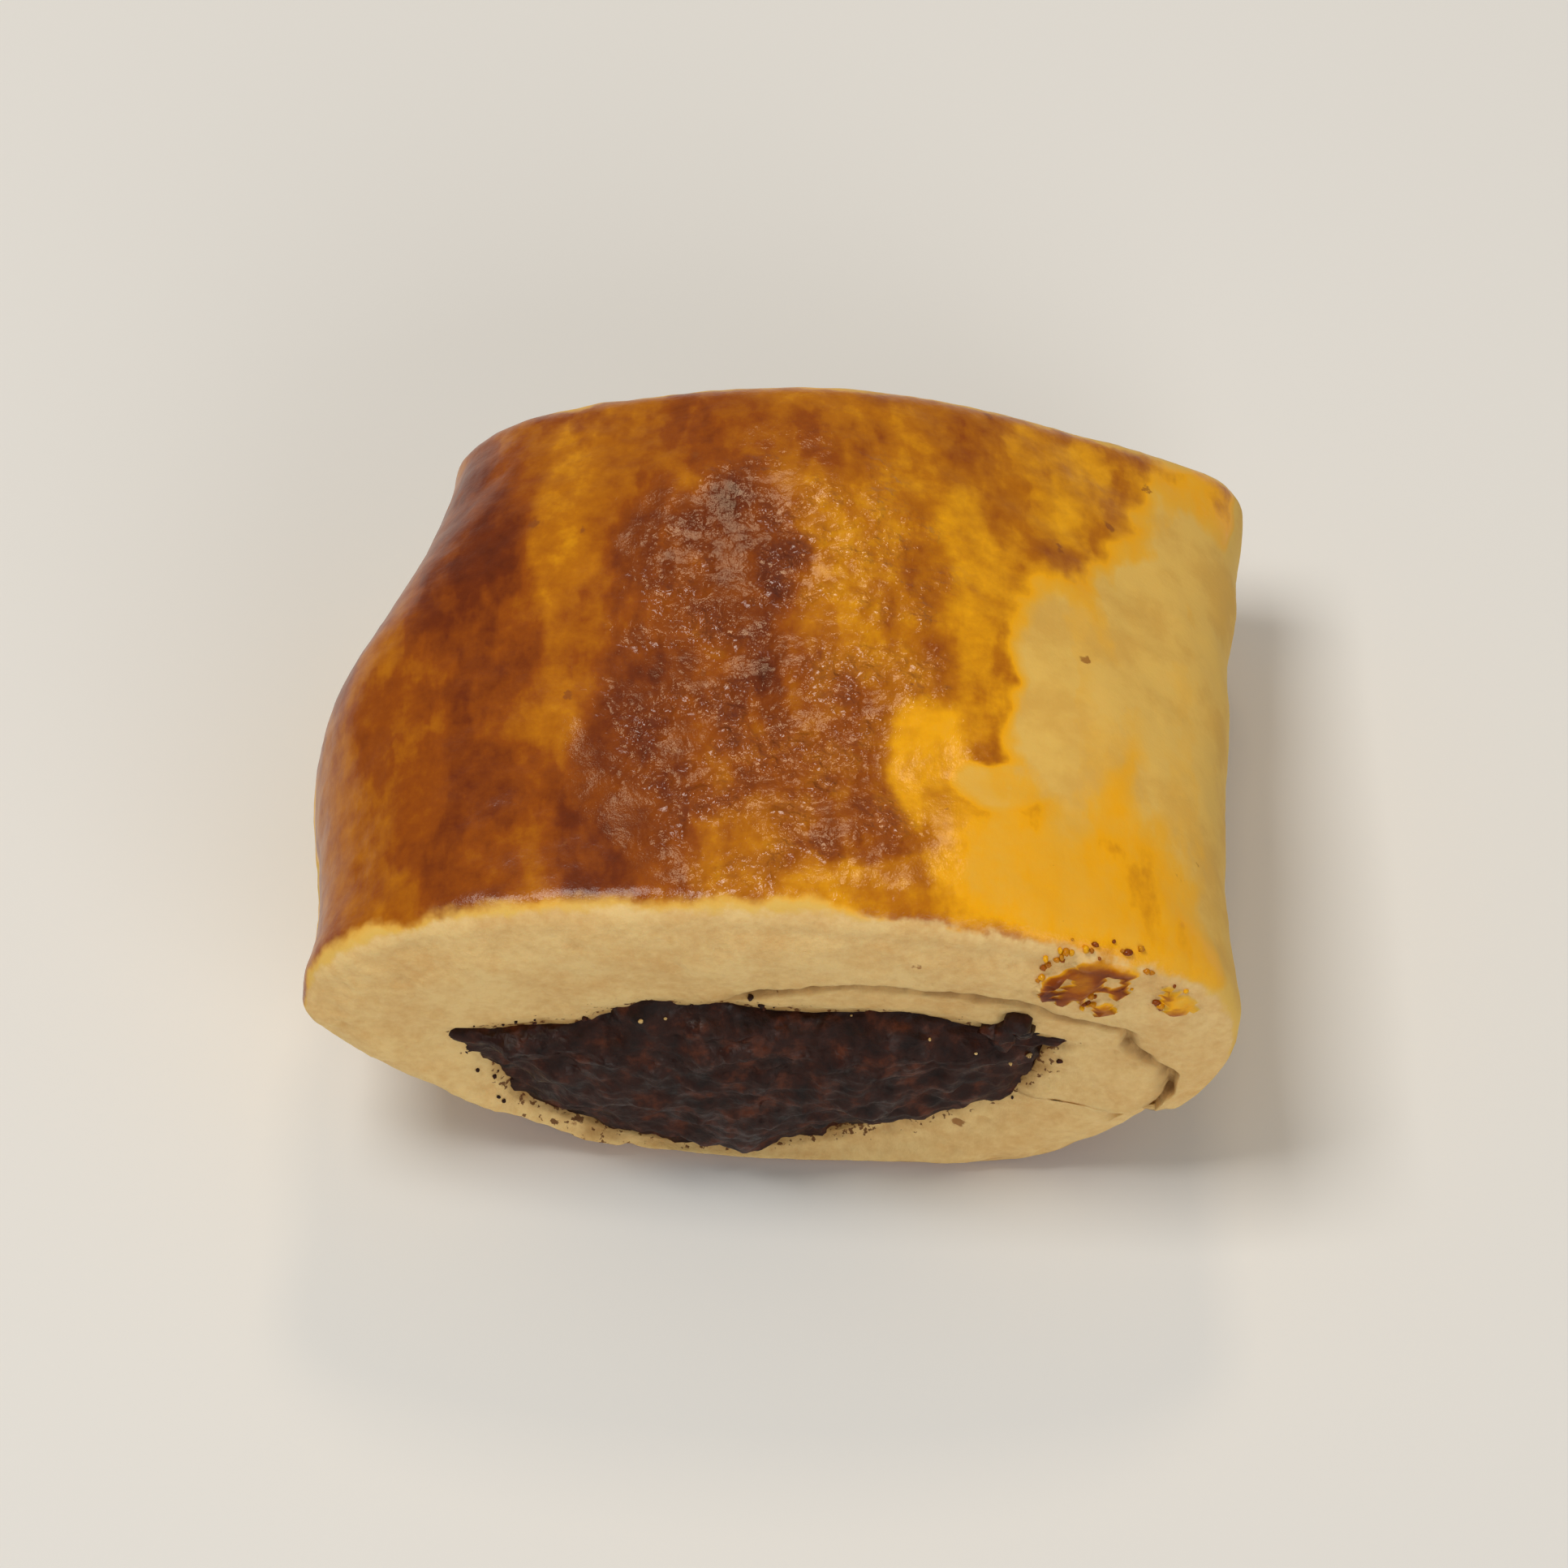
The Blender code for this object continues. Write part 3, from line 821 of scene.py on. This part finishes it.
def egg_washed_dough(colours):
    """Baked short dough, brushed with egg yolk on top: pale and matt where bare, amber to brown glaze.

    To the eye the glaze is a thin hard gloss over overlapping washes of yellow, amber and brown,
    tiny blisters glitter where it is darkest, and the cut faces are dry, fine-grained and cream.
    """
    material, tree, surface, where = new_material("egg_washed_baked_dough", DOUGH_FINISH)
    add = partial(add_node, tree)
    smooth = {"interpolation_type": "SMOOTHSTEP"}
    blend = {"output": 2, "data_type": "RGBA"}
    brushed = add("ShaderNodeMapping", {"Vector": where, "Scale": BRUSH_STRETCH})
    grain = {}
    for name, (width, detail, uneven) in DOUGH_PATTERNS.items():
        place = brushed if name in BRUSHED else where
        feeds = {"Vector": place, "Scale": 1.0 / (width * MM), "Detail": detail, "Roughness": uneven}
        grain[name] = add(NOISE, feeds)
    field = {
        name: add("ShaderNodeAttribute", output="Fac", attribute_name=name)
        for name in ("brown", "blistered", "glazed", "cut", "seam", "from_core", "under")
    }

    # Washes of egg that dried one over another, drawn out along the brush's way, with soft edges
    broad = add(RANGE, (grain["broad_wash"], 0.44, 0.58, -0.05, 0.05), **smooth)
    narrow = add(RANGE, (grain["narrow_wash"], 0.50, 0.60, -0.02, 0.05), **smooth)
    mottle = add(MATH, (grain["mottle"], 0.30, -0.15), operation="MULTIPLY_ADD")
    washes = add(MATH, (broad, narrow), operation="ADD")
    washes = add(MATH, (washes, mottle), operation="ADD")
    on_glaze = add(RANGE, (field["brown"], 0.14, 0.56, 0.3, 1.0), **smooth)
    level = add(MATH, (washes, on_glaze, field["brown"]), operation="MULTIPLY_ADD")
    pale_washes = add(RANGE, (grain["pale_wash"], 0.42, 0.62, -0.05, 0.07), **smooth)
    on_pale = add(RANGE, (field["brown"], 0.46, 0.30), **smooth)
    level = add(MATH, (pale_washes, on_pale, level), operation="MULTIPLY_ADD")

    # The glaze thins out to bare dough at the cuts
    edge = add(MATH, (grain["glaze_edge"], 2.4, -1.2), operation="MULTIPLY_ADD")
    edge = add(MATH, (field["glazed"], edge), operation="ADD")
    coat = add(RANGE, (edge, -0.25, 0.60), **smooth)
    thinner = add(MATH, (coat, 0.4, 0.6), operation="MULTIPLY_ADD")
    level = add(MATH, (level, thinner), operation="MULTIPLY")
    glaze_stops = (
        (0.07, colours.bare),
        (0.20, colours.straw),
        (0.34, colours.yellow),
        (0.50, colours.amber),
        (0.64, colours.toffee),
        (0.78, colours.chestnut),
        (0.94, colours.dark),
    )
    glaze = add(RAMP, (level,), stops=glaze_stops)
    glaze = add(MIX, {0: coat, 6: srgb(colours.bare), 7: glaze}, **blend)
    blotches = add(RANGE, (grain["blotch"], 0.44, 0.64, 0.0, 0.55), **smooth)
    on_bare = add(RANGE, (level, 0.26, 0.06), **smooth)
    blotches = add(MATH, (blotches, on_bare), operation="MULTIPLY")
    glaze = add(MIX, {0: blotches, 6: glaze, 7: srgb(colours.blotch)}, **blend)

    # The dry crumb of the cut faces
    tone = add(MATH, (grain["crumb_tone"], 0.55), operation="MULTIPLY")
    tone = add(MATH, (grain["crumb"], 0.45, tone), operation="MULTIPLY_ADD")
    crumb = add(RAMP, (tone,), stops=((0.36, colours.crumb_shade), (0.60, colours.crumb)))
    ragged = add(MATH, (grain["ragged"], 0.5, -0.25), operation="MULTIPLY_ADD")
    on_cut = add(MATH, (field["cut"], ragged), operation="ADD")
    on_cut = add(RANGE, (on_cut, 0.42, 0.62), **smooth)
    colour = add(MIX, {0: on_cut, 6: glaze, 7: crumb}, **blend)

    # The base, browned from below
    base_edge = add(MATH, (grain["base_edge"], 0.6, -0.3), operation="MULTIPLY_ADD")
    base = add(MATH, (field["under"], base_edge), operation="ADD")
    base = add(RANGE, (base, 0.25, 0.8), **smooth)
    base = add(MATH, (base, 0.85), operation="MULTIPLY")
    colour = add(MIX, {0: base, 6: colour, 7: srgb(colours.base)}, **blend)

    # Next to the core the dates stain the dough and leave grit
    soaked = add(MATH, (grain["stain_edge"], 2.4, -1.2), operation="MULTIPLY_ADD")
    soaked = add(MATH, (field["from_core"], soaked), operation="ADD")
    soaked = add(RANGE, (soaked, 0.9, -0.3, 0.0, 0.75), **smooth)
    colour = add(MIX, {0: soaked, 6: colour, 7: srgb(colours.stain)}, **blend)
    grits = add(MATH, (field["from_core"], -0.10, grain["grit"]), operation="MULTIPLY_ADD")
    grits = add(RANGE, (grits, 0.53, 0.57, 0.0, 0.85), **smooth)
    colour = add(MIX, {0: grits, 6: colour, 7: srgb(colours.paste_fibre)}, **blend)

    # The line between the layers, broken here and there, and small baked specks
    broken = add(RANGE, (grain["ragged"], 0.3, 0.6, 0.35, 1.0), **smooth)
    line = add(MATH, (field["seam"], broken), operation="MULTIPLY")
    colour = add(MIX, {0: line, 6: colour, 7: srgb(colours.seam)}, **blend)
    specks = add(CELLS, {"Vector": where, "Scale": 1.0 / (SPECK_SPACING * MM)})
    speck_edge = add(MATH, (grain["speck_edge"], 0.5, -0.25), operation="MULTIPLY_ADD")
    specks = add(MATH, (specks, speck_edge), operation="ADD")
    specks = add(RANGE, (specks, 0.07, 0.02, 0.0, 0.7), **smooth)
    colour = add(MIX, {0: specks, 6: colour, 7: srgb(colours.speck)}, **blend)
    tree.links.new(colour, surface.inputs["Base Color"])

    # The glaze is a thin gloss over matt dough, thickest where it blistered
    off_cut = add(MATH, (1.0, on_cut), operation="SUBTRACT")
    gloss = add(RANGE, (level, 0.10, 0.36), **smooth)
    gloss = add(MATH, (gloss, coat), operation="MULTIPLY")
    gloss = add(MATH, (gloss, off_cut), operation="MULTIPLY")
    roughness = add(RANGE, (gloss, 0.0, 1.0, 0.62, 0.36), **smooth)
    tree.links.new(roughness, surface.inputs["Roughness"])
    thickness = add(MATH, (field["blistered"], 0.5, 0.42), operation="MULTIPLY_ADD")
    coat_weight = add(MATH, (gloss, thickness), operation="MULTIPLY")
    tree.links.new(coat_weight, surface.inputs["Coat Weight"])

    # Blisters that glitter, a faint skin, and dry crumb on the cuts
    bubbles = add(CELLS, {"Vector": where, "Scale": 1.0 / (BUBBLE_WIDTH * MM)})
    uneven = add(RANGE, (grain["ragged"], 0.38, 0.62, 0.7, 3.4), **smooth)
    bubbles = add(MATH, (bubbles, uneven), operation="MULTIPLY")
    height = add(MATH, (bubbles, field["blistered"]), operation="MULTIPLY")
    depth = add(MATH, (field["cut"], 1.1, 0.35), operation="MULTIPLY_ADD")
    skin = add(MATH, (grain["skin"], depth), operation="MULTIPLY")
    height = add(MATH, (height, skin), operation="ADD")
    bump = add(BUMP, {"Height": height, "Strength": 0.85, "Distance": 0.09 * MM})
    tree.links.new(bump, surface.inputs["Normal"])
    tree.links.new(bump, surface.inputs["Coat Normal"])
    return material


# The paste's noise patterns: their width in millimetres, detail and roughness
PASTE_PATTERNS = {
    "fibre": (1.1, 6.0, 0.6),
    "moisture": (1.8, 4.0, 0.6),
    "pulp": (0.5, 5.0, 0.6),
}
# Bits of ground skin are about so many millimetres across
SKIN_WIDTH = 0.45
PASTE_FINISH = {
    "IOR": 1.42,
    "Specular IOR Level": 0.35,
    "Subsurface Weight": 0.06,
    "Subsurface Radius": (1.0, 0.35, 0.15),
    "Subsurface Scale": 0.8 * MM,
}


def date_paste(colours):
    """Ground dates pressed to a paste: sticky, nearly black, with brown torn fibre and moist glints."""
    material, tree, surface, where = new_material("pressed_date_paste", PASTE_FINISH)
    add = partial(add_node, tree)
    grain = {}
    for name, (width, detail, uneven) in PASTE_PATTERNS.items():
        feeds = {"Vector": where, "Scale": 1.0 / (width * MM), "Detail": detail, "Roughness": uneven}
        grain[name] = add(NOISE, feeds)
    stops = ((0.34, colours.paste_dark), (0.54, colours.paste), (0.72, colours.paste_fibre))
    tone = add(RAMP, (grain["fibre"],), stops=stops)
    tree.links.new(tone, surface.inputs["Base Color"])
    moisture = (grain["moisture"], 0.46, 0.62, 0.66, 0.34)
    wet = add(RANGE, moisture, interpolation_type="SMOOTHSTEP")
    tree.links.new(wet, surface.inputs["Roughness"])

    # Ground skins over the pulp
    skins = add(CELLS, {"Vector": where, "Scale": 1.0 / (SKIN_WIDTH * MM)})
    pulp = add(MATH, (grain["pulp"], 0.9), operation="MULTIPLY")
    height = add(MATH, (skins, 0.9, pulp), operation="MULTIPLY_ADD")
    bump = add(BUMP, {"Height": height, "Strength": 0.8, "Distance": 0.10 * MM})
    tree.links.new(bump, surface.inputs["Normal"])
    return material


def matt_floor(colour):
    """A plain sweep of matt paper, so pale that only the soft shadow shows on it."""
    return new_material("matt_paper_sweep", {"Base Color": srgb(colour), "Roughness": 0.9})[0]


def colour_property(name, description, default):
    """A hex colour that the user can type."""
    return StringProperty(name=name, description=description, default=default, maxlen=7)


class KleichaSize(bpy.types.PropertyGroup):
    """The real sizes of the biscuit."""

    width: FloatProperty(
        name="Width", description="Across the roll", default=41.0 * MM, unit="LENGTH", subtype="DISTANCE"
    )
    height: FloatProperty(
        name="Height", description="From the base to the crown", default=21.6 * MM, unit="LENGTH"
    )
    length: FloatProperty(
        name="Length", description="Between the two cuts", default=29.8 * MM, unit="LENGTH"
    )
    seam_depth: FloatProperty(
        name="Seam depth", description="How far the layers gape", default=0.75 * MM, unit="LENGTH"
    )
    crumbs: IntProperty(
        name="Crumbs", description="How many date crumbs lie on the cut faces", default=70, min=20
    )
    paste_bulge: FloatProperty(
        name="Paste bulge", description="How far the dates swell out", default=1.6 * MM, unit="LENGTH"
    )


class KleichaColours(bpy.types.PropertyGroup):
    """The colours of the dough, its glaze and the dates, as sRGB hex codes."""

    bare: colour_property("Bare dough", "Dough that the brush missed", "#e6bd62")
    blotch: colour_property("Blotch", "Bare dough where the oven touched it", "#d3a24c")
    straw: colour_property("Straw", "The thinnest glaze", "#ecb238")
    yellow: colour_property("Yellow", "Thin golden glaze", "#f5ae0c")
    amber: colour_property("Amber", "Full glaze", "#bd7305")
    toffee: colour_property("Toffee", "Glaze that has begun to brown", "#974b04")
    chestnut: colour_property("Chestnut", "Browned glaze", "#722f06")
    dark: colour_property("Dark", "The darkest spots", "#451605")
    crumb: colour_property("Crumb", "The cut dough", "#eccb8c")
    crumb_shade: colour_property("Crumb shade", "The cut dough in its pores", "#dcb273")
    base: colour_property("Base", "The underside, browned from below", "#b9762c")
    stain: colour_property("Stain", "Dough stained by the dates", "#a4773e")
    seam: colour_property("Seam", "The line between the layers", "#8a6236")
    speck: colour_property("Speck", "Small baked specks", "#8a4a1a")
    paste: colour_property("Date paste", "The paste", "#31140b")
    paste_dark: colour_property("Dark paste", "The paste in its hollows", "#180806")
    paste_fibre: colour_property("Date fibre", "Torn skin and fibre", "#5c2c17")
    floor: colour_property("Floor", "The paper that the biscuit stands on", "#e9eaea")


class KLEICHA_OT_dough(bpy.types.Operator):
    """Model the baked dough over its solid"""

    bl_idname = "kleicha.dough"
    bl_label = "Baked Dough"

    def execute(self, context):
        scene = context.scene
        piece = build_dough(scene.kleicha_size, egg_washed_dough(scene.kleicha_colours))
        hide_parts("dough")
        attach(piece, "root")
        return {"FINISHED"}


class KLEICHA_OT_paste(bpy.types.Operator):
    """Model the core of date paste over its solid"""

    bl_idname = "kleicha.paste"
    bl_label = "Date Paste"

    def execute(self, context):
        scene = context.scene
        piece = build_paste(scene.kleicha_size, date_paste(scene.kleicha_colours))
        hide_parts("date_filling")
        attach(piece, "root")
        return {"FINISHED"}


class KLEICHA_OT_crumbs(bpy.types.Operator):
    """Scatter the crumbs over the cut faces"""

    bl_idname = "kleicha.crumbs"
    bl_label = "Crumbs"

    def execute(self, context):
        objects = bpy.data.objects
        count = context.scene.kleicha_size.crumbs
        date_bits, crust, crumb = build_crumbs(objects["baked_dough"], objects["date_paste_core"], count)
        for piece, slot in ((date_bits, "date_paste"), (crust, "glazed_dough"), (crumb, "glazed_dough")):
            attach(piece, "root")
        return {"FINISHED"}


class KLEICHA_OT_stage(bpy.types.Operator):
    """Set the floor, the lights and the camera"""

    bl_idname = "kleicha.stage"
    bl_label = "Studio"

    def execute(self, context):
        scene = context.scene
        build_stage(scene, scene.kleicha_colours)
        return {"FINISHED"}


def soft_light(name, place, aim, side, power, colour):
    """A square soft box that points at a spot."""
    data = bpy.data.lights.new(name, "AREA")
    data.shape = "SQUARE"
    data.size = side
    data.energy = power
    data.color = colour
    lamp = bpy.data.objects.new(name, data)
    lamp.location = place
    lamp.rotation_euler = (Vector(aim) - Vector(place)).to_track_quat("-Z", "Y").to_euler()
    bpy.context.scene.collection.objects.link(lamp)


# The studio's lamps: name, place, side, power in watts and colour
LAMPS = (
    ("overhead_soft_box", (-0.20, -0.02, 0.55), 0.22, 1.72, (1.0, 0.95, 0.87)),
    ("front_fill", (0.22, -0.55, 0.32), 0.40, 1.25, (1.0, 0.96, 0.90)),
    ("small_sparkle_lamp", (0.03, 0.35, 0.48), 0.10, 0.42, (1.0, 0.75, 0.47)),
)
ROOM_COLOUR = "#f2f1ee"
ROOM_STRENGTH = 0.27
FLOOR_REACH = 3.0
# The camera looks at the middle of the roll, so many degrees above the floor and round from the front
AIM = (0.0, 0.0, 0.009)
CAMERA_ELEVATION = 55.0
CAMERA_AZIMUTH = 0.0
CAMERA_DISTANCE = 0.40
LENS_MM = 205.0
SENSOR_MM = 36.0


def build_stage(scene, colours):
    """A pale floor, soft light from above and a long lens that looks down on the front cut."""
    mesh = bpy.data.meshes.new("paper_floor")
    corners = [(FLOOR_REACH * x, FLOOR_REACH * y, 0.0) for x, y in ((-1, -1), (1, -1), (1, 1), (-1, 1))]
    mesh.from_pydata(corners, [], [(0, 1, 2, 3)])
    mesh.materials.append(matt_floor(colours.floor))
    floor = bpy.data.objects.new("paper_floor", mesh)
    scene.collection.objects.link(floor)

    for name, place, side, power, colour in LAMPS:
        soft_light(name, place, AIM, side, power, colour)
    world = bpy.data.worlds.new("pale_room")
    world.use_nodes = True
    world.node_tree.nodes["Background"].inputs["Color"].default_value = srgb(ROOM_COLOUR)
    world.node_tree.nodes["Background"].inputs["Strength"].default_value = ROOM_STRENGTH
    scene.world = world

    elevation, azimuth = math.radians(CAMERA_ELEVATION), math.radians(CAMERA_AZIMUTH)
    data = bpy.data.cameras.new("long_lens")
    data.lens = LENS_MM
    data.sensor_width = SENSOR_MM
    camera = bpy.data.objects.new("long_lens", data)
    back = Vector((
        -math.sin(azimuth) * math.cos(elevation),
        -math.cos(azimuth) * math.cos(elevation),
        math.sin(elevation),
    ))
    camera.location = Vector(AIM) + back * CAMERA_DISTANCE
    camera.rotation_euler = (-back).to_track_quat("-Z", "Y").to_euler()
    scene.collection.objects.link(camera)
    scene.camera = camera
    scene.view_settings.view_transform = "Standard"


class KLEICHA_PT_panel(bpy.types.Panel):
    """Kleicha"""

    bl_idname = "KLEICHA_PT_panel"
    bl_label = "Kleicha"
    bl_space_type = "VIEW_3D"
    bl_region_type = "UI"
    bl_category = "Kleicha"

    def draw(self, context):
        layout = self.layout
        for settings in (context.scene.kleicha_size, context.scene.kleicha_colours):
            box = layout.box()
            for name in settings.__annotations__:
                box.prop(settings, name)
        for operator in OPERATORS:
            layout.operator(operator.bl_idname)


OPERATORS = (KLEICHA_OT_dough, KLEICHA_OT_paste, KLEICHA_OT_crumbs, KLEICHA_OT_stage)
CLASSES = (KleichaSize, KleichaColours, *OPERATORS, KLEICHA_PT_panel)


def register():
    for item in CLASSES:
        bpy.utils.register_class(item)
    bpy.types.Scene.kleicha_size = PointerProperty(type=KleichaSize)
    bpy.types.Scene.kleicha_colours = PointerProperty(type=KleichaColours)


def unregister():
    del bpy.types.Scene.kleicha_colours
    del bpy.types.Scene.kleicha_size
    for item in reversed(CLASSES):
        bpy.utils.unregister_class(item)


def main():
    register()
    bpy.ops.kleicha.dough()
    bpy.ops.kleicha.paste()
    bpy.ops.kleicha.crumbs()
    bpy.ops.kleicha.stage()


if __name__ == "__main__":
    main()
